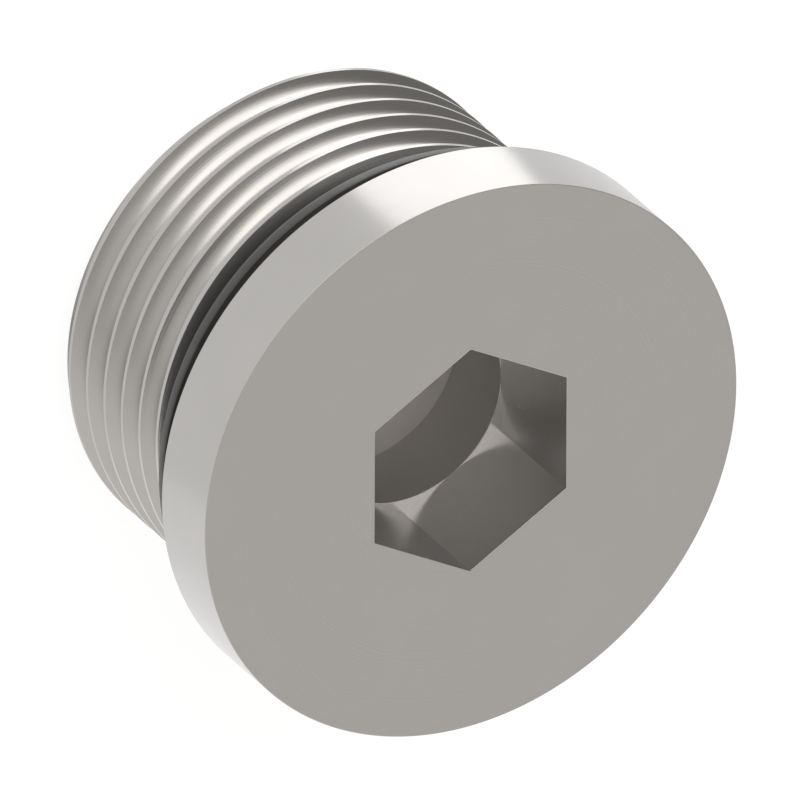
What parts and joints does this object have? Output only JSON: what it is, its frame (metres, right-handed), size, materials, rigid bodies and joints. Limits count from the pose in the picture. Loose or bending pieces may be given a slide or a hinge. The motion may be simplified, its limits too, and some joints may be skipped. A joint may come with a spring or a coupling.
{
  "type": "o-ring boss plug",
  "caption": "Screw plug with a round flat head, hexagon socket, straight metric thread and a rubber ring under the head that seals a port.",
  "frame": {"origin": "centre of the flat tail end", "axes": "+Z along the plug's axis, from the tail end to the head; +X through a corner of the hexagon socket"},
  "size_m": [0.0352, 0.0352, 0.0224],
  "materials": {
    "steel": "smooth turned steel, semi-gloss",
    "rubber": "moulded black rubber, satin"
  },
  "bodies": {
    "root": {"plug": "steel", "seal_ring": "rubber"}
  },
  "joints": []
}
